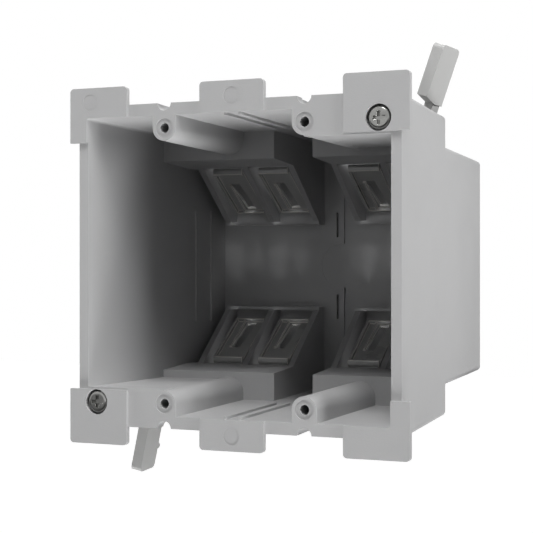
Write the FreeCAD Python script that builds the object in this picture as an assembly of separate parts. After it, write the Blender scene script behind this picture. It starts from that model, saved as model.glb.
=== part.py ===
"""Two-gang back box for existing drywall, with two swing wings and eight cable tongues.

X runs right across the opening, Y runs back into the wall and Z runs up. The origin is the
middle of the device screw pattern, on the front face of the rim. Lengths are in millimetres.
"""
import FreeCAD, Part
import math
import os

V = FreeCAD.Vector

# Opening and device screws
GANG_PITCH = 46.04          # across, between the two columns of device screws
DEVICE_SPAN = 83.34         # up, between the upper and the lower device screws
DEVICE_HOLE = 3.0           # diameter that a 6-32 screw cuts its thread in
DEVICE_HOLE_DEPTH = 36.0
LEAD_IN = 5.8               # diameter of the shallow ring round each device hole
LEAD_IN_DEPTH = 0.35

# Walls
SIDE_MARGIN = 29.83         # from a device screw to the outside of the side wall, at the rim
END_MARGIN = 7.53           # from a device screw to the outside of the end wall, at the rim
SIDE_WALL = 3.13
END_WALL = 3.7
SIDE_DRAFT = 0.046          # the side walls lean in by this much for each millimetre back
END_DRAFT = 0.060
END_DRAFT_INSIDE = 0.035
BACK_WALL = 2.9
CORNER_RADIUS = 1.6
INSIDE_RADIUS = 0.8
BAY_RADIUS = 0.8
BAY_INSIDE_RADIUS = 0.4

# Ears and tabs that stop the box at the face of the wall
EAR_WIDTH = 20.1
EAR_HEIGHT = 16.8
EAR_OVERHANG_X = 2.75
EAR_OVERHANG_Z = 5.6
EAR_THICKNESS = 1.8
EAR_PROUD = 1.0
EAR_CORNER = 1.2
TAB_WIDTH = 21.0
MARK_DIAMETER = 5.2         # round ejector marks on the ears and tabs
MARK_DEPTH = 0.15
MARK_ABOVE_WALL = 1.1       # centre of a mark above the outside of the end wall
MARK_FROM_SIDE = 4.4        # centre of the ear's mark in from the outside of the side wall

# Screw bosses
BOSS_FRONT = 7.8            # diameter at the rim
BOSS_REAR = 10.4            # diameter at the step
NOTCH_RADIUS = 2.3          # round groove in the outside of the wall over each boss
NOTCH_LENGTH = 30.0

# Step and cable blocks
STEP_AT = 44.5              # depth of the front face of the step
STEP_WALL = 1.5
STEP_HEIGHT = 34.95         # middle of the box to the lower edge of the step's face
ROOF_RISE = 2.2             # thickness of the ledge at the step
ROOF_DRAFT = 0.040
LEDGE_LENGTH = 15.5
LEDGE_DROP = 1.35
SLOPE_LENGTH = 22.0         # front to back over the slanted edges of the partitions
BAY_HALF_WIDTH = 6.8        # clear half width of the tall bay between the cable blocks
BAR = 2.0                   # thickness of the partitions
SIDE_STRIP = 2.9            # from the last partition to the inside of the side wall
SHELF_HEIGHT = 15.5         # middle of the box to the shelf under the partitions
SHELF_LENGTH = 5.2
SHELF_THICKNESS = 1.1
ENTRY_SET_BACK = 3.2        # from the end of the ledge to the cable entry in the roof
ENTRY_LENGTH = 11.0
UNITS_PER_BLOCK = 2

# Cable tongues
TONGUE_GAP = 3.8            # open slot on the left of each tongue
TONGUE_CLEARANCE = 0.3
TONGUE_THICKNESS = 2.2
TONGUE_HUB = 1.1            # radius of the rounded root
TONGUE_ROOT = 2.2           # length of the thick root
TONGUE_TIP_GAP = 3.3
TONGUE_LIP = 0.85
TRAY_DEPTH = 1.25
SLOT_WIDTH = 3.1
SLOT_FROM_ROOT = 7.0
SLOT_LEAN = 1.2
TONGUE_RIB = 0.7            # low rib along the left side of the slot
TONGUE_RIB_HEIGHT = 0.6

# Ribs
DIVIDER_RIB = 0.8
DIVIDER_SLOT = 4.0          # between the two ribs that take a divider plate
DIVIDER_RIB_HEIGHT = 0.8
DIVIDER_LENGTH = 36.0
BACK_RIB = 1.8
BACK_RIB_HEIGHT = 0.9
SIDE_RIB = 0.9
SIDE_RIB_HEIGHT = 0.6
SIDE_RIB_PITCH = 10.6       # from the back wall to the first rib and on to the second
SIDE_RIB_COUNT = 2
SIDE_RIB_HALF_LENGTH = 19.4
CENTRE_MARK = 15.6          # diameter of the gate mark in the back wall
BACK_SLOT_WIDTH = 0.9
BACK_SLOT_LENGTH = 8.6
BACK_SLOT_AT = 14.3

# Swing wings and their screws
CLAMP_FROM_SIDE = 6.65      # clamp screw to the outside of the side wall, at the rim
CLAMP_FROM_END = 7.3
SCREW_DIAMETER = 3.5
SCREW_LENGTH = 42.7
HEAD_DIAMETER = 6.9
HEAD_HEIGHT = 1.9
HEAD_FLAT = 4.9             # diameter of the flat top inside the rounded shoulder
HEAD_SHOULDER = 0.95        # height of the rounded shoulder
HEAD_SHOULDER_STEPS = 3
HEAD_CLEARANCE = 0.45
HEAD_SINK = 0.45            # from the ear's face down to the top of the head
CROSS_WIDTH = 1.15
CROSS_LENGTH = 3.9
CROSS_DEPTH = 1.3
TIP_CHAMFER = 0.6           # at the far end of the screw
RUNNING_CLEARANCE = 0.05
POCKET_CLEARANCE = 1.0      # round the hub of the wing
WING_ROOM = 0.5             # beside the leaning or folded wing
KNEE_HEIGHT = 1.0           # from the screw's axis up to where the pocket's side starts to lean
FACE_PLATE = 3.8            # thickness of the box's face in front of the pocket
POCKET_FLOOR = 0.85
HUB_WALL = 0.85
WING_REACH = 25.9
WING_THICKNESS = 3.5
WING_SKEW = 6.5             # degrees by which the arm is turned on its hub, about its own length
WING_REAR = 42.3            # depth of the back of the wing, with the box as sold
HUB_LENGTH = 4.8
PAD_LENGTH = 11.7
PAD_START = 9.6             # from the screw's axis to the pad
PAD_SLANT = 1.6
STEM_RELIEF = 0.7           # by which the stem's outer side stands back from the pad's
PAD_CORNER = 1.6
NUB_RADIUS = 1.2
NUB_AT = 18.8
UPPER_LEAN = 19.5           # degrees past upright at which the upper wing stands
LOWER_LEAN = 12.0
PARK_ANGLE = 14.5           # degrees above level when folded along the wall
CUT_MARGIN = 5.0            # how far a cutting tool runs past what it cuts
EMBED = 0.6                 # how far an added feature runs into the wall it stands on

# Sizes that follow
boss_x = GANG_PITCH / 2
boss_z = DEVICE_SPAN / 2
front_half_width = boss_x + SIDE_MARGIN
front_half_height = boss_z + END_MARGIN
clamp_x = front_half_width - CLAMP_FROM_SIDE
clamp_z = front_half_height - CLAMP_FROM_END
ledge_end = STEP_AT + LEDGE_LENGTH
ledge_height = STEP_HEIGHT - LEDGE_DROP
shelf_front = ledge_end + SLOPE_LENGTH
back_face = shelf_front + SHELF_LENGTH
box_depth = back_face + BACK_WALL
roof_outside = STEP_HEIGHT + ROOF_RISE
hub_radius = SCREW_DIAMETER / 2 + RUNNING_CLEARANCE + HUB_WALL
pocket_floor_z = clamp_z - hub_radius - POCKET_CLEARANCE
block_face_z = pocket_floor_z - POCKET_FLOOR
head_seat = HEAD_HEIGHT - EAR_PROUD + HEAD_SINK
wing_sway = (PAD_LENGTH - HUB_LENGTH / 2) * math.tan(math.radians(WING_SKEW))


def outer_x(depth):
    """Half width of the outside at a depth."""
    return front_half_width - SIDE_DRAFT * depth


def outer_z(depth):
    """Half height of the outside at a depth."""
    return front_half_height - END_DRAFT * depth


def inner_x(depth):
    """Half width of the inside at a depth."""
    return outer_x(depth) - SIDE_WALL


def inner_z(depth):
    """Half height of the inside at a depth, in front of the step and in the tall bay."""
    return front_half_height - END_WALL - END_DRAFT_INSIDE * depth


def roof_z(depth):
    """Height of the outside of the low rear roof."""
    return roof_outside - ROOF_DRAFT * (depth - STEP_AT)


def slope_z(depth):
    """Height of the slanted front edge of the partitions."""
    share = (depth - ledge_end) / (shelf_front - ledge_end)
    return ledge_height + share * (SHELF_HEIGHT - ledge_height)


bar_pitch = (inner_x(back_face) - BAY_HALF_WIDTH - BAR - SIDE_STRIP) / UNITS_PER_BLOCK
tongue_width = bar_pitch - BAR - TONGUE_GAP - TONGUE_CLEARANCE
pivot_y = ledge_end + TONGUE_HUB + TONGUE_CLEARANCE
pivot_z = ledge_height - TONGUE_HUB - TONGUE_CLEARANCE


def block(x0, x1, y0, y1, z0, z1):
    """Rectangular block between two corners."""
    return Part.makeBox(x1 - x0, y1 - y0, z1 - z0, V(x0, y0, z0))


def across(points, x0, x1):
    """Outline in depth and height, drawn out across the box."""
    wire = Part.makePolygon([V(x0, y, z) for y, z in points + points[:1]])
    return Part.Face(wire).extrude(V(x1 - x0, 0, 0))


def inward(points, y0, y1):
    """Outline in width and height, drawn out into the wall."""
    wire = Part.makePolygon([V(x, y0, z) for x, z in points + points[:1]])
    return Part.Face(wire).extrude(V(0, y1 - y0, 0))


def upward(points, z0, z1):
    """Outline in width and depth, drawn out up the box."""
    wire = Part.makePolygon([V(x, y, z0) for x, y in points + points[:1]])
    return Part.Face(wire).extrude(V(0, 0, z1 - z0))


def drafted(x_at, z_at, radius, y0, y1):
    """Block with sloping sides and round long edges, between two depths."""
    rings = []
    for y in (y0, y1):
        x, z = x_at(y), z_at(y)
        rings.append([V(x, y, z), V(-x, y, z), V(-x, y, -z), V(x, y, -z)])
    near, far = rings
    outlines = rings + [[near[side - 1], near[side], far[side], far[side - 1]] for side in range(len(near))]
    faces = [Part.Face(Part.makePolygon(outline + outline[:1])) for outline in outlines]
    body = Part.Solid(Part.makeShell(faces))
    long_edges = [edge for edge in body.Edges if edge.BoundBox.YLength > (y1 - y0) / 2]
    return body.makeFillet(radius, long_edges)


def rod(x, z, y0, y1, radius, rear_radius=None):
    """Round bar or hole that runs into the wall, with a taper if a rear radius is given."""
    if rear_radius is None:
        return Part.makeCylinder(radius, y1 - y0, V(x, y0, z), V(0, 1, 0))
    return Part.makeCone(radius, rear_radius, y1 - y0, V(x, y0, z), V(0, 1, 0))


def upside_down(shape):
    """The same feature at the other end wall, with left and right kept."""
    return shape.mirror(V(0, 0, 0), V(0, 0, 1))


def half_turn(shape):
    """The same feature in the diagonally opposite corner."""
    turned = shape.copy()
    turned.rotate(V(0, 0, 0), V(0, 1, 0), 180)
    return turned


def end_pair(shapes):
    """Features of the upper end, with their mirror images at the lower end."""
    return shapes + [upside_down(shape) for shape in shapes]


def outer_walls():
    """Solid outside: the deep front, the low rear and the tall bay, before it is hollowed."""
    front = drafted(outer_x, outer_z, CORNER_RADIUS, 0, STEP_AT + STEP_WALL)
    rear = drafted(outer_x, roof_z, CORNER_RADIUS, STEP_AT, box_depth)
    bay_half = BAY_HALF_WIDTH + BAR
    bay = drafted(lambda y: bay_half, outer_z, BAY_RADIUS, STEP_AT, box_depth)
    return front.fuse([rear, bay])


def hollow():
    """Everything inside the walls: front room, low rear room and tall bay."""
    front = drafted(inner_x, inner_z, INSIDE_RADIUS, -CUT_MARGIN, STEP_AT)
    profile = [(STEP_AT - CUT_MARGIN, 0), (STEP_AT - CUT_MARGIN, STEP_HEIGHT),
               (STEP_AT, STEP_HEIGHT), (ledge_end, ledge_height), (back_face, ledge_height),
               (back_face, 0)]
    tall = across(profile, -front_half_width, front_half_width)
    sides = drafted(inner_x, lambda y: front_half_height, INSIDE_RADIUS, 0, back_face)
    rear = tall.fuse(upside_down(tall)).common(sides)
    bay = drafted(lambda y: BAY_HALF_WIDTH, inner_z, BAY_INSIDE_RADIUS, STEP_AT - CUT_MARGIN, back_face)
    return front.fuse([rear, bay])


def bar_places():
    """Left edge of each partition, from left to right."""
    places = []
    for index in range(UNITS_PER_BLOCK + 1):
        places.append(BAY_HALF_WIDTH + index * bar_pitch)
    return [-place - BAR for place in reversed(places)] + places


def entry_places():
    """Left edge of each cable entry, which is the right side of the partition before it."""
    bars = bar_places()
    starts = bars[:UNITS_PER_BLOCK] + bars[UNITS_PER_BLOCK + 1:-1]
    return [start + BAR for start in starts]


def partitions():
    """Webs between the cable entries of the upper end, and the shelf below them."""
    foot_z = SHELF_HEIGHT - SHELF_THICKNESS
    rear, top = back_face + EMBED, ledge_height + EMBED
    outline = [(ledge_end, ledge_height), (shelf_front, SHELF_HEIGHT), (shelf_front, foot_z),
               (rear, foot_z), (rear, top), (ledge_end, top)]
    webs = [across(outline, left, left + BAR) for left in bar_places()]
    shelf = [(shelf_front, foot_z), (rear, foot_z), (rear, SHELF_HEIGHT), (shelf_front, SHELF_HEIGHT)]
    reach = BAY_HALF_WIDTH + UNITS_PER_BLOCK * bar_pitch + BAR
    shelves = [across(shelf, BAY_HALF_WIDTH, reach), across(shelf, -reach, -BAY_HALF_WIDTH)]
    return webs + shelves


def cable_entries():
    """Openings in the rear roof, one above each tongue of the upper end."""
    first = ledge_end + ENTRY_SET_BACK
    last = first + ENTRY_LENGTH
    cuts = []
    for left in entry_places():
        right = left + bar_pitch - BAR
        cuts.append(block(left, right, first, last, ledge_height - EMBED, roof_outside + CUT_MARGIN))
    return cuts


def divider_ribs():
    """The two thin ribs inside the upper end wall that guide a divider plate."""
    ribs = []
    for middle in (-(DIVIDER_SLOT + DIVIDER_RIB) / 2, (DIVIDER_SLOT + DIVIDER_RIB) / 2):
        left = middle - DIVIDER_RIB / 2
        outline = [(0, inner_z(0) - DIVIDER_RIB_HEIGHT), (0, inner_z(0) + EMBED),
                   (DIVIDER_LENGTH, inner_z(DIVIDER_LENGTH) + EMBED),
                   (DIVIDER_LENGTH, inner_z(DIVIDER_LENGTH) - DIVIDER_RIB_HEIGHT)]
        ribs.append(across(outline, left, left + DIVIDER_RIB))
    return ribs


def wall_ribs():
    """Low ribs inside the side walls and up the middle of the back wall."""
    ribs = [block(-BACK_RIB / 2, BACK_RIB / 2, back_face - BACK_RIB_HEIGHT, back_face + EMBED,
                  -inner_z(back_face), inner_z(back_face))]
    for index in range(SIDE_RIB_COUNT):
        depth = back_face - SIDE_RIB_PITCH * (index + 1)
        face = inner_x(depth) - SIDE_RIB_HEIGHT
        for sign in (-1, 1):
            ends = sorted((sign * face, sign * (inner_x(depth) + EMBED)))
            ribs.append(block(ends[0], ends[1], depth - SIDE_RIB / 2, depth + SIDE_RIB / 2,
                              -SIDE_RIB_HALF_LENGTH, SIDE_RIB_HALF_LENGTH))
    return ribs


def upper_bosses():
    """Tapered bosses for the upper device screws, each joined to the end wall at its full width."""
    rear = STEP_AT + EMBED
    front_radius, rear_radius = BOSS_FRONT / 2, BOSS_REAR / 2
    bosses = []
    for x in (-boss_x, boss_x):
        cone = rod(x, boss_z, 0, rear, front_radius, rear_radius)
        free_side = block(x - BOSS_REAR, x + BOSS_REAR, 0, rear, boss_z - BOSS_REAR, boss_z)
        outline = [(x - front_radius, 0), (x + front_radius, 0), (x + rear_radius, rear),
                   (x - rear_radius, rear)]
        wall_side = upward(outline, boss_z, inner_z(0) + EMBED)
        bosses.append(cone.common(free_side).fuse(wall_side))
    return bosses


def device_holes():
    """Blind screw holes of the upper bosses, each with its shallow lead-in ring."""
    cuts = []
    for x in (-boss_x, boss_x):
        cuts.append(rod(x, boss_z, -CUT_MARGIN, DEVICE_HOLE_DEPTH, DEVICE_HOLE / 2))
        cuts.append(rod(x, boss_z, -CUT_MARGIN, LEAD_IN_DEPTH, LEAD_IN / 2))
    return cuts


def upper_notches():
    """Round grooves in the outside of the upper end wall, over the bosses, fading out to the rear."""
    rise = outer_z(NOTCH_LENGTH) + NOTCH_RADIUS - front_half_height
    along = V(0, NOTCH_LENGTH, rise)
    grooves = []
    for x in (-boss_x, boss_x):
        start = V(x, 0, front_half_height) - along
        grooves.append(Part.makeCylinder(NOTCH_RADIUS, along.Length * 2, start, along))
    return grooves


def ear_plates():
    """Corner ears and middle tabs of the upper end, as plates across the rim."""
    outer_edge = front_half_width + EAR_OVERHANG_X
    top = front_half_height + EAR_OVERHANG_Z
    y0, y1 = -EAR_PROUD, EAR_THICKNESS - EAR_PROUD
    plates = []
    for sign in (-1, 1):
        ends = sorted((sign * (outer_edge - EAR_WIDTH), sign * outer_edge))
        plates.append(block(ends[0], ends[1], y0, y1, top - EAR_HEIGHT, top))
    plates.append(block(-TAB_WIDTH / 2, TAB_WIDTH / 2, y0, y1, inner_z(0), top))
    rounded = []
    for plate in plates:
        corners = [edge for edge in plate.Edges
                   if edge.BoundBox.YLength > EAR_THICKNESS / 2 and edge.BoundBox.ZMax > top - EAR_CORNER]
        rounded.append(plate.makeFillet(EAR_CORNER, corners))
    return rounded


def ear_marks():
    """Shallow round ejector marks on the upper left ear and the middle tab."""
    height = front_half_height + MARK_ABOVE_WALL
    front, floor = -EAR_PROUD - CUT_MARGIN, MARK_DEPTH - EAR_PROUD
    return [rod(x, height, front, floor, MARK_DIAMETER / 2) for x in (0, MARK_FROM_SIDE - front_half_width)]


def parked_line(x):
    """Height of the underside of the folded wing at a distance across, with its room."""
    angle = math.radians(PARK_ANGLE)
    middle = clamp_z + (clamp_x - x) * math.tan(angle)
    return middle - (WING_THICKNESS / 2 + wing_sway + WING_ROOM) / math.cos(angle)


def leaning_line(z):
    """Distance across of the outer side of the leaning upper wing, with its room."""
    angle = math.radians(UPPER_LEAN)
    middle = clamp_x + (z - clamp_z) * math.tan(angle)
    return middle + (WING_THICKNESS / 2 + WING_ROOM) / math.cos(angle)


def clamp_block():
    """Solid corner that the wing's pocket is cut from, at the upper right."""
    rear = STEP_AT + EMBED
    corner = block(boss_x, inner_x(0) + EMBED, 0, rear, block_face_z, front_half_height)
    return corner.common(drafted(outer_x, outer_z, CORNER_RADIUS, 0, STEP_AT + STEP_WALL))


def clamp_ear():
    """The part of the upper right ear that covers the clamp block."""
    cover = block(boss_x, front_half_width + EAR_OVERHANG_X, -EAR_PROUD, EAR_THICKNESS, block_face_z,
                  front_half_height + EAR_OVERHANG_Z)
    return ear_plates()[1].common(cover)


def clamp_pocket():
    """Room for the wing at the upper right, open upwards, and the hole and seat for its screw."""
    flank = boss_x + BOSS_REAR / 2 + WING_ROOM
    tip_x = clamp_x - WING_REACH - WING_ROOM
    hub_side = clamp_x + hub_radius + POCKET_CLEARANCE
    top = outer_z(FACE_PLATE)
    above = front_half_height + CUT_MARGIN
    outline = [(flank, pocket_floor_z), (hub_side, pocket_floor_z), (hub_side, clamp_z + KNEE_HEIGHT),
               (leaning_line(top), top), (leaning_line(top), above), (tip_x, above),
               (tip_x, parked_line(tip_x)), (flank, parked_line(flank))]
    room = inward(outline, FACE_PLATE, STEP_AT)
    hole = rod(clamp_x, clamp_z, 0, FACE_PLATE + EMBED, SCREW_DIAMETER / 2 + RUNNING_CLEARANCE)
    seat = rod(clamp_x, clamp_z, -EAR_PROUD - CUT_MARGIN, head_seat, HEAD_DIAMETER / 2 + HEAD_CLEARANCE)
    return room.fuse([hole, seat])


def joined(solid, pieces):
    """The solid with each piece added in turn."""
    for piece in pieces:
        solid = solid.fuse(piece)
    return solid.removeSplitter()


def carved(solid, tools):
    """The solid with each tool's shape taken out in turn."""
    for tool in tools:
        solid = solid.cut(tool)
    return solid


def back_marks():
    """Round gate mark in the middle of the back wall and the two blind slots beside its rib."""
    cuts = [rod(0, 0, back_face - BACK_RIB_HEIGHT - MARK_DEPTH, back_face + MARK_DEPTH, CENTRE_MARK / 2)]
    right = -(BACK_RIB + BACK_SLOT_WIDTH) / 2
    for height in (-BACK_SLOT_AT, BACK_SLOT_AT):
        cuts.append(block(right - BACK_SLOT_WIDTH, right, back_face - CUT_MARGIN, back_face + BACK_WALL / 2,
                          height - BACK_SLOT_LENGTH / 2, height + BACK_SLOT_LENGTH / 2))
    return cuts


def box_shell():
    """The whole grey moulding: walls, ears, bosses, clamp corners, step and cable blocks."""
    solid = joined(outer_walls(), end_pair(ear_plates()))
    solid = carved(solid, [hollow()])
    corner, corner_ear = clamp_block(), clamp_ear()
    added = end_pair(partitions() + divider_ribs() + upper_bosses()) + wall_ribs()
    added += [corner, half_turn(corner), corner_ear, half_turn(corner_ear)]
    solid = joined(solid, added)
    pocket = clamp_pocket()
    marks = ear_marks()
    cuts = end_pair(cable_entries() + device_holes() + upper_notches())
    cuts += [pocket, half_turn(pocket)] + marks + [upside_down(marks[0])] + back_marks()
    return carved(solid, cuts).removeSplitter()


def clamp_screw():
    """Pan-head machine screw at the upper right, with a cross recess."""
    head_radius, radius, flat = HEAD_DIAMETER / 2, SCREW_DIAMETER / 2, HEAD_FLAT / 2
    top = head_seat - HEAD_HEIGHT
    tip = head_seat + SCREW_LENGTH
    profile = [V(0, top, 0)]
    for step in range(HEAD_SHOULDER_STEPS + 1):
        turn = math.pi / 2 * step / HEAD_SHOULDER_STEPS
        profile.append(V(flat + (head_radius - flat) * math.sin(turn),
                         top + HEAD_SHOULDER * (1 - math.cos(turn)), 0))
    profile += [V(head_radius, head_seat, 0), V(radius, head_seat, 0), V(radius, tip - TIP_CHAMFER, 0),
                V(radius - TIP_CHAMFER, tip, 0), V(0, tip, 0)]
    screw = Part.Face(Part.makePolygon(profile + profile[:1])).revolve(V(0, 0, 0), V(0, 1, 0), 360)
    half, arm = CROSS_WIDTH / 2, CROSS_LENGTH / 2
    for cut in (block(-half, half, top - CUT_MARGIN, top + CROSS_DEPTH, -arm, arm),
                block(-arm, arm, top - CUT_MARGIN, top + CROSS_DEPTH, -half, half)):
        screw = screw.cut(cut)
    screw.translate(V(clamp_x, 0, clamp_z))
    return screw


def swing_wing(lean):
    """Wing at the upper right: a round hub on the screw, a stem and a deep pad at the tip."""
    stem_front = WING_REAR - HUB_LENGTH
    pad_front = WING_REAR - PAD_LENGTH
    half = WING_THICKNESS / 2
    side = [(stem_front, 0), (stem_front, PAD_START - PAD_SLANT), (pad_front, PAD_START),
            (pad_front, WING_REACH), (WING_REAR, WING_REACH), (WING_REAR, 0)]
    relief = block(half - STEM_RELIEF, half + CUT_MARGIN, pad_front, WING_REAR + CUT_MARGIN,
                   0, PAD_START - PAD_SLANT)
    arm = across(side, -half, half).cut(relief)
    tips = [edge for edge in arm.Edges
            if edge.BoundBox.XLength > half and edge.BoundBox.ZMin > WING_REACH - PAD_CORNER / 2]
    arm = arm.makeFillet(PAD_CORNER, tips)
    nub = rod(NUB_RADIUS - half, NUB_AT, WING_REAR - PAD_LENGTH / 2, STEP_AT - WING_ROOM,
              NUB_RADIUS)
    arm = arm.fuse(nub)
    arm.rotate(V(0, WING_REAR - HUB_LENGTH / 2, 0), V(0, 0, 1), -WING_SKEW)
    wing = arm.fuse(rod(0, 0, stem_front, WING_REAR, hub_radius)).removeSplitter()
    wing = wing.cut(rod(0, 0, 0, box_depth, SCREW_DIAMETER / 2 + RUNNING_CLEARANCE))
    wing.rotate(V(0, 0, 0), V(0, 1, 0), lean)
    wing.translate(V(clamp_x, 0, clamp_z))
    return wing


def tongue(left):
    """Cable tongue of the upper end: a sprung flap with a raised lip, a tray and a slot."""
    front_y = pivot_y - TONGUE_HUB
    tip_y = shelf_front - TONGUE_TIP_GAP
    tip_z = slope_z(tip_y)
    root_z = pivot_z - TONGUE_HUB
    along = V(0, tip_y - front_y, tip_z - root_z)
    length = along.Length
    along.normalize()
    away = V(0, -along.z, along.y)
    root = V(left, front_y, root_z)
    hub = Part.makeCylinder(TONGUE_HUB, tongue_width, V(left, pivot_y, pivot_z), V(1, 0, 0))

    def slab(x0, x1, start, end, low, high):
        """Piece of the flap between two places along it and two heights off its front face."""
        places = [(start, low), (end, low), (end, high), (start, high)]
        points = [root + V(x0, 0, 0) + along * run + away * rise for run, rise in places]
        return Part.Face(Part.makePolygon(points + points[:1])).extrude(V(x1 - x0, 0, 0))

    flap = slab(0, tongue_width, 0, length, 0, TONGUE_THICKNESS)
    root_end = root + along * TONGUE_ROOT
    corner = across([(front_y, root_z), (front_y, pivot_z), (pivot_y, pivot_z), (root_end.y, root_end.z)],
                    left, left + tongue_width)
    flap = flap.fuse([hub, corner]).removeSplitter()
    tray_end = length - TONGUE_LIP
    tray = slab(TONGUE_LIP, tongue_width + CUT_MARGIN, TONGUE_LIP, tray_end, -CUT_MARGIN, TRAY_DEPTH)
    flap = flap.cut(tray)
    middle = TONGUE_LIP + (tongue_width - TONGUE_LIP) / 2
    slot_end = tray_end - TONGUE_LIP
    rib_left = middle - (SLOT_WIDTH + SLOT_LEAN) / 2 - TONGUE_RIB
    rib = slab(rib_left, rib_left + TONGUE_RIB, SLOT_FROM_ROOT, tray_end, TRAY_DEPTH - TONGUE_RIB_HEIGHT,
               (TRAY_DEPTH + TONGUE_THICKNESS) / 2)
    flap = flap.fuse(rib).removeSplitter()
    half_slot, lean = SLOT_WIDTH / 2, SLOT_LEAN / 2
    corners = [(middle - half_slot - lean, SLOT_FROM_ROOT), (middle + half_slot - lean, SLOT_FROM_ROOT),
               (middle + half_slot + lean, slot_end), (middle - half_slot + lean, slot_end)]
    points = [root + V(x, 0, 0) + along * run - away * CUT_MARGIN for x, run in corners]
    slot = Part.Face(Part.makePolygon(points + points[:1])).extrude(away * (CUT_MARGIN * 2))
    return flap.cut(slot)


def all_parts():
    """Every piece by its name."""
    pieces = {"box_shell": box_shell()}
    screw = clamp_screw()
    pieces["upper_clamp_screw"] = screw
    pieces["lower_clamp_screw"] = half_turn(screw)
    pieces["upper_swing_wing"] = swing_wing(UPPER_LEAN)
    pieces["lower_swing_wing"] = half_turn(swing_wing(LOWER_LEAN))
    for index, left in enumerate(entry_places(), start=1):
        flap = tongue(left + TONGUE_GAP)
        pieces[f"upper_cable_tongue_{index}"] = flap
        pieces[f"lower_cable_tongue_{index}"] = upside_down(flap)
    return pieces


os.makedirs("parts", exist_ok=True)
for name, shape in all_parts().items():
    shape.exportStep(f"parts/{name}.step")
    print(name, shape.isValid(), len(shape.Solids), round(shape.Volume, 1))
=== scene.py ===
"""Grey two-gang back box for existing drywall: its finish, camera, floor and light."""
import math

import bmesh
import bpy
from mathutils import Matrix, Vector


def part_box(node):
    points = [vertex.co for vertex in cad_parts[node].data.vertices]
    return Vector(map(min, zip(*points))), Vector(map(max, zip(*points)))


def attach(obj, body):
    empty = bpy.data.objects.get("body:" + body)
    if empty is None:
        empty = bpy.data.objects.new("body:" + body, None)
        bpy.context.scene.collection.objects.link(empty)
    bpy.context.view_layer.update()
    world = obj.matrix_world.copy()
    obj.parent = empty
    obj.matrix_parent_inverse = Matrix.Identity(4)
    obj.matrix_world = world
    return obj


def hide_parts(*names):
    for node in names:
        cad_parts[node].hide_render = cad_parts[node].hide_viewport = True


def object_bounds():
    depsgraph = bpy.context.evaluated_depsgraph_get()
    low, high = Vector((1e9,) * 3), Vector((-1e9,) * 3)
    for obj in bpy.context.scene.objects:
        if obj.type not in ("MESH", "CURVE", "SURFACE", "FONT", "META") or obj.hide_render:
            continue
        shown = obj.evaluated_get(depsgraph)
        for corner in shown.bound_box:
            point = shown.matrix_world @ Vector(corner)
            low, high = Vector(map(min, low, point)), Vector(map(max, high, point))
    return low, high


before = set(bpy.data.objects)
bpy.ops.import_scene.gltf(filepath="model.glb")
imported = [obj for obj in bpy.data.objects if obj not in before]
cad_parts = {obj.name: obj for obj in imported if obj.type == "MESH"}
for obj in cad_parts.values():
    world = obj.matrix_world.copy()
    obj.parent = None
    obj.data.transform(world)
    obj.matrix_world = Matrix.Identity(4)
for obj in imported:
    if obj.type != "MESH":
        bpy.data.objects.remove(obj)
cad_low, cad_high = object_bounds()
MM = 0.001

# Camera
# The box is seen level, from its right front, so that the inside and the right side both show.
# The place and the lens come from the known spacing of the device screws.
CAMERA_PLACE = Vector((191.5, -389.9, 0.0)) * MM
CAMERA_TURN = 24.83
SENSOR_WIDTH = 36.0
PHOTO_SIDE = 533.0
FOCAL_PIXELS = 1469.9
MIDDLE_PIXEL = (266.5, 265.8)

camera_data = bpy.data.cameras.new("studio_camera")
camera_data.sensor_width = SENSOR_WIDTH
camera_data.lens = FOCAL_PIXELS / PHOTO_SIDE * SENSOR_WIDTH
camera_data.shift_x = (PHOTO_SIDE / 2 - MIDDLE_PIXEL[0]) / PHOTO_SIDE
camera_data.shift_y = (MIDDLE_PIXEL[1] - PHOTO_SIDE / 2) / PHOTO_SIDE
camera_data.clip_start = 0.01
camera_data.clip_end = 50.0
camera = bpy.data.objects.new("studio_camera", camera_data)
camera.location = CAMERA_PLACE
camera.rotation_euler = (math.radians(90), 0, math.radians(CAMERA_TURN))
bpy.context.scene.collection.objects.link(camera)
bpy.context.scene.camera = camera
bpy.context.scene.view_settings.view_transform = "Standard"


# Box shell
# One injection moulding in grey thermoplastic. Its faces have the fine satin skin of the mould,
# with broad flow marks, and every outside corner is eased by the mould's own small radius.
# The eased corners are a little glossier and painted a lighter grey, a painted highlight.
SHELL_GREY = (0.402, 0.402, 0.405)
# Lighter grey of the eased corners: a painted highlight along the edges.
SHELL_CORNER_HIGHLIGHT_GREY = (0.50, 0.50, 0.50)
SHELL_EDGE_RADIUS = 0.32 * MM
EDGE_STEPS = 2
SHARP_ANGLE = math.radians(35)
FLAT_ANGLE = math.radians(0.4)
MERGE_DISTANCE = 0.002 * MM
# Slot of the lighter corner material, a painted highlight on the eased edges.
CORNER_HIGHLIGHT_SLOT = 1
FACE_WEIGHT = 90

# The skin of the mould. Scales are waves a metre, and the rest are shares of one.
FLOW_SCALE = 34.0
SPECK_SCALE = 900.0
GRAIN_SCALE = 2600.0
SPECK_SHARE = 0.35
GLOSS_CHANGE = (-0.05, 0.06)
GRAIN_HEIGHT = 0.12 * MM
GRAIN_STRENGTH = 0.35
PLASTIC_IOR = 1.5
COAT_ROUGHNESS = 0.18


def link_nodes(tree, *pairs):
    """Joins sockets of one node tree, each pair written as (from, to)."""
    for source, target in pairs:
        tree.links.new(source, target)


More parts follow.
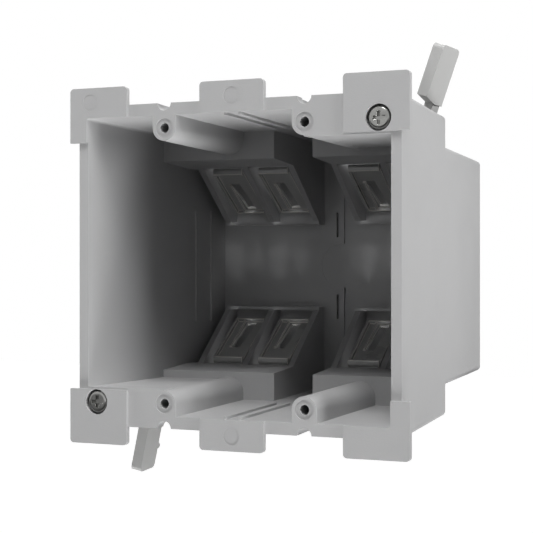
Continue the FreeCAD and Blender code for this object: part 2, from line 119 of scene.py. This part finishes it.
def moulded_skin_group():
    """Shader group for a moulded plastic face: broad flow marks, specks and fine grain."""
    group = bpy.data.node_groups.new("moulded_skin", "ShaderNodeTree")
    for name, kind, value in (("Base", "NodeSocketColor", (0.4, 0.4, 0.4, 1)),
                              ("Variation", "NodeSocketFloat", 0.06),
                              ("Roughness", "NodeSocketFloat", 0.42),
                              ("Grain", "NodeSocketFloat", 0.05)):
        socket = group.interface.new_socket(name=name, in_out="INPUT", socket_type=kind)
        socket.default_value = value
    for name, kind in (("Color", "NodeSocketColor"), ("Roughness", "NodeSocketFloat"),
                       ("Height", "NodeSocketFloat")):
        group.interface.new_socket(name=name, in_out="OUTPUT", socket_type=kind)
    nodes = group.nodes
    entry, out = nodes.new("NodeGroupInput"), nodes.new("NodeGroupOutput")
    place = nodes.new("ShaderNodeTexCoord")

    flow = nodes.new("ShaderNodeTexNoise")
    flow.inputs["Scale"].default_value = FLOW_SCALE
    flow.inputs["Detail"].default_value = 5.0
    flow.inputs["Roughness"].default_value = 0.55
    flow.inputs["Distortion"].default_value = 1.4
    speck = nodes.new("ShaderNodeTexNoise")
    speck.inputs["Scale"].default_value = SPECK_SCALE
    speck.inputs["Detail"].default_value = 3.0
    grain = nodes.new("ShaderNodeTexNoise")
    grain.inputs["Scale"].default_value = GRAIN_SCALE
    grain.inputs["Detail"].default_value = 2.0

    centred = nodes.new("ShaderNodeMath")
    centred.operation = "SUBTRACT"
    centred.inputs[1].default_value = 0.5
    swing = nodes.new("ShaderNodeMath")
    swing.operation = "MULTIPLY"
    lift = nodes.new("ShaderNodeMath")
    lift.operation = "ADD"
    lift.inputs[1].default_value = 1.0
    tint = nodes.new("ShaderNodeVectorMath")
    tint.operation = "SCALE"
    both = nodes.new("ShaderNodeMath")
    both.operation = "MULTIPLY_ADD"
    both.inputs[1].default_value = SPECK_SHARE
    link_nodes(group,
               (place.outputs["Object"], flow.inputs["Vector"]),
               (place.outputs["Object"], speck.inputs["Vector"]),
               (place.outputs["Object"], grain.inputs["Vector"]),
               (speck.outputs["Fac"], both.inputs[0]),
               (flow.outputs["Fac"], both.inputs[2]),
               (both.outputs[0], centred.inputs[0]),
               (centred.outputs[0], swing.inputs[0]),
               (entry.outputs["Variation"], swing.inputs[1]),
               (swing.outputs[0], lift.inputs[0]),
               (entry.outputs["Base"], tint.inputs[0]),
               (lift.outputs[0], tint.inputs["Scale"]),
               (tint.outputs[0], out.inputs["Color"]))

    gloss = nodes.new("ShaderNodeMapRange")
    gloss.inputs["From Min"].default_value = 0.3
    gloss.inputs["From Max"].default_value = 0.7
    gloss.inputs["To Min"].default_value = GLOSS_CHANGE[0]
    gloss.inputs["To Max"].default_value = GLOSS_CHANGE[1]
    worn = nodes.new("ShaderNodeMath")
    worn.operation = "ADD"
    height = nodes.new("ShaderNodeMath")
    height.operation = "MULTIPLY"
    link_nodes(group,
               (flow.outputs["Fac"], gloss.inputs["Value"]),
               (gloss.outputs[0], worn.inputs[0]),
               (entry.outputs["Roughness"], worn.inputs[1]),
               (worn.outputs[0], out.inputs["Roughness"]),
               (grain.outputs["Fac"], height.inputs[0]),
               (entry.outputs["Grain"], height.inputs[1]),
               (height.outputs[0], out.inputs["Height"]))
    return group


moulded_skin = moulded_skin_group()


def moulded_plastic(name, grey, variation, roughness, grain, coat=0.0):
    """Opaque moulded plastic with the shared skin, in its own grey and gloss."""
    material = bpy.data.materials.new(name)
    material.use_nodes = True
    tree = material.node_tree
    shader = tree.nodes["Principled BSDF"]
    shader.inputs["IOR"].default_value = PLASTIC_IOR
    shader.inputs["Coat Weight"].default_value = coat
    shader.inputs["Coat Roughness"].default_value = COAT_ROUGHNESS
    skin = tree.nodes.new("ShaderNodeGroup")
    skin.node_tree = moulded_skin
    skin.inputs["Base"].default_value = (*grey, 1.0)
    skin.inputs["Variation"].default_value = variation
    skin.inputs["Roughness"].default_value = roughness
    skin.inputs["Grain"].default_value = grain
    bump = tree.nodes.new("ShaderNodeBump")
    bump.inputs["Strength"].default_value = GRAIN_STRENGTH
    bump.inputs["Distance"].default_value = GRAIN_HEIGHT
    link_nodes(tree,
               (skin.outputs["Color"], shader.inputs["Base Color"]),
               (skin.outputs["Roughness"], shader.inputs["Roughness"]),
               (skin.outputs["Height"], bump.inputs["Height"]),
               (bump.outputs["Normal"], shader.inputs["Normal"]))
    return material


def eased_copy(node, name, radius, steps, material, corner_highlight_material):
    """The solid of a node with its sharp corners eased, which stands for the node. The eased corners
    take the second material, which is painted lighter as a painted highlight.
    """
    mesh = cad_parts[node].data.copy()
    mesh.name = name
    mesh.materials.clear()
    mesh.materials.append(material)
    mesh.materials.append(corner_highlight_material)
    shape = bmesh.new()
    shape.from_mesh(mesh)
    bmesh.ops.remove_doubles(shape, verts=shape.verts, dist=MERGE_DISTANCE)
    bmesh.ops.dissolve_limit(shape, angle_limit=FLAT_ANGLE, verts=shape.verts, edges=shape.edges)
    shape.to_mesh(mesh)
    shape.free()
    piece = bpy.data.objects.new(name, mesh)
    bpy.context.scene.collection.objects.link(piece)
    easing = piece.modifiers.new("eased_corners", "BEVEL")
    easing.width = radius
    easing.segments = steps
    easing.limit_method = "ANGLE"
    easing.angle_limit = SHARP_ANGLE
    easing.use_clamp_overlap = True
    # The eased corners get the lighter second material: a painted highlight along every edge.
    easing.material = CORNER_HIGHLIGHT_SLOT
    evening = piece.modifiers.new("even_shading", "WEIGHTED_NORMAL")
    evening.weight = FACE_WEIGHT
    evening.keep_sharp = True
    mesh.shade_smooth()
    mesh.set_sharp_from_angle(angle=SHARP_ANGLE)
    evaluated = piece.evaluated_get(bpy.context.evaluated_depsgraph_get())
    finished = bpy.data.meshes.new_from_object(evaluated)
    piece.modifiers.clear()
    piece.data = finished
    piece.data.name = name
    return piece


shell_plastic = moulded_plastic("grey_moulding", SHELL_GREY, 0.07, 0.42, 1.0)
# The corner material is a painted highlight: a lighter grey on the eased corners.
shell_corner_highlight = moulded_plastic("grey_moulding_corners", SHELL_CORNER_HIGHLIGHT_GREY, 0.07, 0.30, 0.3)
shell = eased_copy("box_shell", "moulded_shell", SHELL_EDGE_RADIUS, EDGE_STEPS,
                   shell_plastic, shell_corner_highlight)
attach(shell, "box")
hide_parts("box_shell")


# Cable tongues
# Eight sprung flaps of the same moulding. The mould is polished here, so they are glossy, and
# their raised lips are glossier still and painted much lighter, a painted highlight.
TONGUE_GREY = (0.36, 0.36, 0.355)
# Much lighter grey of the eased lips: a painted highlight.
TONGUE_LIP_HIGHLIGHT_GREY = (0.72, 0.70, 0.66)
TONGUE_EDGE_RADIUS = 0.22 * MM

tongue_plastic = moulded_plastic("polished_tongue", TONGUE_GREY, 0.06, 0.30, 0.5, coat=0.35)
tongue_lip_highlight = moulded_plastic("polished_tongue_corners", TONGUE_LIP_HIGHLIGHT_GREY, 0.06, 0.22, 0.0,
                                 coat=0.8)
for node in sorted(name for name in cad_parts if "cable_tongue" in name):
    flap = eased_copy(node, node + "_flap", TONGUE_EDGE_RADIUS, EDGE_STEPS,
                      tongue_plastic, tongue_lip_highlight)
    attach(flap, node.replace("_cable", ""))
    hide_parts(node)


# Swing wings
# Two loose arms in the same grey, each threaded on its clamp screw. They are a touch lighter,
# because they come from a mould of their own.
WING_GREY = (0.43, 0.43, 0.425)
# Lighter grey of the eased corners: a painted highlight.
WING_CORNER_HIGHLIGHT_GREY = (0.47, 0.47, 0.465)
WING_EDGE_RADIUS = 0.35 * MM
WING_EDGE_STEPS = 3

wing_plastic = moulded_plastic("wing_moulding", WING_GREY, 0.08, 0.40, 0.9)
wing_corner_highlight = moulded_plastic("wing_moulding_corners", WING_CORNER_HIGHLIGHT_GREY, 0.08, 0.32, 0.3)
for end in ("upper", "lower"):
    wing = eased_copy(end + "_swing_wing", end + "_wing_arm", WING_EDGE_RADIUS, WING_EDGE_STEPS,
                      wing_plastic, wing_corner_highlight)
    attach(wing, end + "_wing")
    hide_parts(end + "_swing_wing")


# Clamp screws
# Zinc-plated machine screws with a pan head and a cross recess. The thread is rolled, so its
# crests are bright and its roots hold a little shadow.
SCREW_ZINC = (0.34, 0.34, 0.33)
# Lighter zinc of the eased corners: a painted highlight.
SCREW_CORNER_HIGHLIGHT_ZINC = (0.52, 0.52, 0.50)
SCREW_EDGE_RADIUS = 0.08 * MM
BLOTCH_SCALE = 420.0
BLOTCH_DARK = 0.72
PLATE_ROUGHNESS = (0.12, 0.30)


def plated_steel(name, tone):
    """Zinc plate with faint darker and rougher blotches."""
    material = bpy.data.materials.new(name)
    material.use_nodes = True
    tree = material.node_tree
    shader = tree.nodes["Principled BSDF"]
    shader.inputs["Metallic"].default_value = 1.0
    place = tree.nodes.new("ShaderNodeTexCoord")
    blotch = tree.nodes.new("ShaderNodeTexNoise")
    blotch.inputs["Scale"].default_value = BLOTCH_SCALE
    blotch.inputs["Detail"].default_value = 4.0
    shade = tree.nodes.new("ShaderNodeValToRGB")
    shade.color_ramp.elements[0].position = 0.30
    shade.color_ramp.elements[0].color = (*[part * BLOTCH_DARK for part in tone], 1)
    shade.color_ramp.elements[1].position = 0.72
    shade.color_ramp.elements[1].color = (*tone, 1)
    gloss = tree.nodes.new("ShaderNodeMapRange")
    gloss.inputs["To Min"].default_value = PLATE_ROUGHNESS[0]
    gloss.inputs["To Max"].default_value = PLATE_ROUGHNESS[1]
    link_nodes(tree,
               (place.outputs["Object"], blotch.inputs["Vector"]),
               (blotch.outputs["Fac"], shade.inputs["Fac"]),
               (blotch.outputs["Fac"], gloss.inputs["Value"]),
               (shade.outputs["Color"], shader.inputs["Base Color"]),
               (gloss.outputs[0], shader.inputs["Roughness"]))
    return material


def thread_tree():
    """Geometry nodes for one rolled thread: a three-sided ridge swept along a helix."""
    tree = bpy.data.node_groups.new("rolled_thread", "GeometryNodeTree")
    tree.interface.new_socket(name="Geometry", in_out="INPUT", socket_type="NodeSocketGeometry")
    for name, kind, value in (("Turns", "NodeSocketFloat", 10.0), ("Length", "NodeSocketFloat", 0.01),
                              ("Helix Radius", "NodeSocketFloat", 0.0015),
                              ("Ridge Radius", "NodeSocketFloat", 0.0003),
                              ("Steps a Turn", "NodeSocketInt", 24)):
        tree.interface.new_socket(name=name, in_out="INPUT", socket_type=kind).default_value = value
    tree.interface.new_socket(name="Start", in_out="INPUT", socket_type="NodeSocketVector")
    tree.interface.new_socket(name="Metal", in_out="INPUT", socket_type="NodeSocketMaterial")
    tree.interface.new_socket(name="Geometry", in_out="OUTPUT", socket_type="NodeSocketGeometry")
    nodes = tree.nodes
    entry, out = nodes.new("NodeGroupInput"), nodes.new("NodeGroupOutput")
    helix = nodes.new("GeometryNodeCurveSpiral")
    ridge = nodes.new("GeometryNodeCurvePrimitiveCircle")
    ridge.inputs["Resolution"].default_value = 3
    sweep = nodes.new("GeometryNodeCurveToMesh")
    sweep.inputs["Fill Caps"].default_value = True
    lay_down = nodes.new("GeometryNodeTransform")
    lay_down.inputs["Rotation"].default_value = (math.radians(-90), 0, 0)
    realize = nodes.new("GeometryNodeRealizeInstances")
    finish = nodes.new("GeometryNodeSetMaterial")
    link_nodes(tree,
               (entry.outputs["Steps a Turn"], helix.inputs["Resolution"]),
               (entry.outputs["Turns"], helix.inputs["Rotations"]),
               (entry.outputs["Helix Radius"], helix.inputs["Start Radius"]),
               (entry.outputs["Helix Radius"], helix.inputs["End Radius"]),
               (entry.outputs["Length"], helix.inputs["Height"]),
               (entry.outputs["Ridge Radius"], ridge.inputs["Radius"]),
               (helix.outputs["Curve"], sweep.inputs["Curve"]),
               (ridge.outputs["Curve"], sweep.inputs["Profile Curve"]),
               (sweep.outputs["Mesh"], lay_down.inputs["Geometry"]),
               (entry.outputs["Start"], lay_down.inputs["Translation"]),
               (lay_down.outputs["Geometry"], realize.inputs["Geometry"]),
               (realize.outputs["Geometry"], finish.inputs["Geometry"]),
               (entry.outputs["Metal"], finish.inputs["Material"]),
               (finish.outputs["Geometry"], out.inputs["Geometry"]))
    return tree


def from_tree(tree, name, **values):
    """A plain mesh object that a geometry node tree makes from the given inputs."""
    maker = bpy.data.objects.new(name + "_maker", bpy.data.meshes.new(name + "_maker"))
    bpy.context.scene.collection.objects.link(maker)
    modifier = maker.modifiers.new("tree", "NODES")
    modifier.node_group = tree
    for item in tree.interface.items_tree:
        key = item.name.lower().replace(" ", "_")
        if item.in_out == "INPUT" and key in values:
            modifier[item.identifier] = values[key]
    evaluated = maker.evaluated_get(bpy.context.evaluated_depsgraph_get())
    mesh = bpy.data.meshes.new_from_object(evaluated)
    bpy.data.objects.remove(maker)
    piece = bpy.data.objects.new(name, mesh)
    bpy.context.scene.collection.objects.link(piece)
    return piece


# The shank of the solid is as thick as the thread's crests, so it is drawn in to the thread's core.
# RIDGE_DEPTH is the height of a crest over the core, in radii of the ridge, and leaves the rest of
# the ridge inside the core.
THREAD_PITCH = 0.794 * MM
THREAD_CORE = 0.80
THREAD_START = 1.6 * MM
THREAD_END_GAP = 0.9 * MM
RIDGE_DEPTH = 1.35
HEAD_HEIGHT = 1.9 * MM
SEAT_MARGIN = 0.02 * MM
TIP_LENGTH = 3 * MM

screw_steel = plated_steel("zinc_plate", SCREW_ZINC)
# The screw's eased corners take this lighter zinc, a painted highlight.
zinc_corner_highlight = plated_steel("zinc_plate_corners", SCREW_CORNER_HIGHLIGHT_ZINC)
rolled_thread = thread_tree()
for end in ("upper", "lower"):
    screw_low, screw_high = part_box(end + "_clamp_screw")
    middle = (Vector(screw_low) + Vector(screw_high)) / 2
    seat = screw_low[1] + HEAD_HEIGHT
    screw = eased_copy(end + "_clamp_screw", end + "_screw_body", SCREW_EDGE_RADIUS, EDGE_STEPS,
                       screw_steel, zinc_corner_highlight)
    shank_radius = 0.0
    for vertex in screw.data.vertices:
        if vertex.co.y > screw_high[1] - TIP_LENGTH:
            shank_radius = max(shank_radius, math.hypot(vertex.co.x - middle.x, vertex.co.z - middle.z))
    for vertex in screw.data.vertices:
        if vertex.co.y > seat + SEAT_MARGIN:
            vertex.co.x = middle.x + (vertex.co.x - middle.x) * THREAD_CORE
            vertex.co.z = middle.z + (vertex.co.z - middle.z) * THREAD_CORE
    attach(screw, end + "_screw")
    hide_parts(end + "_clamp_screw")

    run = screw_high[1] - THREAD_END_GAP - (seat + THREAD_START)
    ridge_radius = shank_radius * (1 - THREAD_CORE) / RIDGE_DEPTH
    thread = from_tree(rolled_thread, end + "_screw_thread", turns=run / THREAD_PITCH, length=run,
                       helix_radius=shank_radius - ridge_radius, ridge_radius=ridge_radius,
                       start=(middle.x, seat + THREAD_START, middle.z), metal=screw_steel)
    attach(thread, end + "_screw")


# Floor, backdrop and light
# A white sweep far below the box, and soft lamps to the right, above, to the left and below. They
# stand so far to the side that they graze the front, light the first part of each inside wall, and
# leave the deep inside in its own shade. A weak fifth lamp behind shows the form of the back.
# Two flags, cards that only cast shadow, keep the top and the low lamp from shining in through the
# cable entries. All lengths here are in metres. A lamp is given as its name, place and watts,
# and a flag as its name, height and its front and rear edge.
FLOOR_DROP = 1.2
FLOOR_SIZE = 30.0
FLOOR_WHITE = (0.40, 0.40, 0.40, 1.0)
FLOOR_GLOW = 0.93
WORLD_SIDES = 0.10
WORLD_FRONT = 0.02
FRONT_CONE = (0.45, 0.85)
LAMP_SIZE = 0.4
LAMPS = (("right_lamp", (0.97, -0.15, 0.12), 7.4),
         ("top_lamp", (0.12, -0.42, 0.90), 10.0),
         ("left_lamp", (-0.97, -0.12, 0.12), 5.0),
         ("low_lamp", (0.12, -0.24, -0.96), 12.5),
         ("rear_lamp", (-0.30, 0.80, 0.75), 3.0))
FLAGS = (("top_flag", 0.095, 0.030, 0.062),
         ("low_flag", -0.095, 0.044, 0.078))
FLAG_HALF_WIDTH = 0.08


def studio_floor():
    """Floor that the camera sees as white, and that keeps the box's shadow."""
    mesh = bpy.data.meshes.new("studio_floor")
    half = FLOOR_SIZE / 2
    corners = [(-half, -half), (half, -half), (half, half), (-half, half)]
    mesh.from_pydata([(x, y, -FLOOR_DROP) for x, y in corners], [], [(0, 1, 2, 3)])
    floor = bpy.data.objects.new("studio_floor", mesh)
    bpy.context.scene.collection.objects.link(floor)
    material = bpy.data.materials.new("studio_white")
    material.use_nodes = True
    tree = material.node_tree
    shader = tree.nodes["Principled BSDF"]
    shader.inputs["Base Color"].default_value = FLOOR_WHITE
    shader.inputs["Roughness"].default_value = 0.9
    glow = tree.nodes.new("ShaderNodeEmission")
    path = tree.nodes.new("ShaderNodeLightPath")
    scaled = tree.nodes.new("ShaderNodeMath")
    scaled.operation = "MULTIPLY"
    scaled.inputs[1].default_value = FLOOR_GLOW
    total = tree.nodes.new("ShaderNodeAddShader")
    link_nodes(tree,
               (path.outputs["Is Camera Ray"], scaled.inputs[0]),
               (scaled.outputs[0], glow.inputs["Strength"]),
               (shader.outputs[0], total.inputs[0]),
               (glow.outputs[0], total.inputs[1]),
               (total.outputs[0], tree.nodes["Material Output"].inputs["Surface"]))
    mesh.materials.append(material)


def studio_world():
    """Dim surroundings, darkest in front, which the camera and mirrors see as white."""
    world = bpy.data.worlds.new("studio_world")
    bpy.context.scene.world = world
    world.use_nodes = True
    tree = world.node_tree
    backing = tree.nodes["Background"]
    backing.inputs["Color"].default_value = (1.0, 1.0, 1.0, 1.0)
    path = tree.nodes.new("ShaderNodeLightPath")
    camera_or_glass = tree.nodes.new("ShaderNodeMath")
    camera_or_glass.operation = "ADD"
    seen = tree.nodes.new("ShaderNodeMath")
    seen.operation = "ADD"
    seen.use_clamp = True
    place = tree.nodes.new("ShaderNodeTexCoord")
    forward = tree.nodes.new("ShaderNodeVectorMath")
    forward.operation = "DOT_PRODUCT"
    forward.inputs[1].default_value = (0.0, -1.0, 0.0)
    dimmed = tree.nodes.new("ShaderNodeMapRange")
    dimmed.interpolation_type = "SMOOTHSTEP"
    dimmed.inputs["From Min"].default_value = FRONT_CONE[0]
    dimmed.inputs["From Max"].default_value = FRONT_CONE[1]
    dimmed.inputs["To Min"].default_value = WORLD_SIDES
    dimmed.inputs["To Max"].default_value = WORLD_FRONT
    level = tree.nodes.new("ShaderNodeMapRange")
    level.inputs["To Max"].default_value = 1.0
    link_nodes(tree,
               (path.outputs["Is Camera Ray"], camera_or_glass.inputs[0]),
               (path.outputs["Is Transmission Ray"], camera_or_glass.inputs[1]),
               (camera_or_glass.outputs[0], seen.inputs[0]),
               (path.outputs["Is Glossy Ray"], seen.inputs[1]),
               (place.outputs["Generated"], forward.inputs[0]),
               (forward.outputs["Value"], dimmed.inputs["Value"]),
               (dimmed.outputs[0], level.inputs["To Min"]),
               (seen.outputs[0], level.inputs["Value"]),
               (level.outputs[0], backing.inputs["Strength"]))


def studio_lamp(name, place, watts):
    """Square soft lamp that points at the middle of the box."""
    data = bpy.data.lights.new(name, "AREA")
    data.shape = "SQUARE"
    data.size = LAMP_SIZE
    data.energy = watts
    lamp = bpy.data.objects.new(name, data)
    lamp.location = place
    middle = (cad_low + cad_high) / 2
    lamp.rotation_euler = (middle - Vector(place)).to_track_quat("-Z", "Y").to_euler()
    bpy.context.scene.collection.objects.link(lamp)


def studio_flag(name, height, front, rear):
    """Card out of sight that keeps a lamp's light from falling through the cable entries."""
    mesh = bpy.data.meshes.new(name)
    half = FLAG_HALF_WIDTH
    corners = [(-half, front), (half, front), (half, rear), (-half, rear)]
    mesh.from_pydata([(x, y, height) for x, y in corners], [], [(0, 1, 2, 3)])
    flag = bpy.data.objects.new(name, mesh)
    bpy.context.scene.collection.objects.link(flag)
    flag.visible_camera = False
    flag.visible_diffuse = False
    flag.visible_glossy = False
    flag.visible_transmission = False


studio_floor()
studio_world()
for flag_values in FLAGS:
    studio_flag(*flag_values)
for lamp_values in LAMPS:
    studio_lamp(*lamp_values)
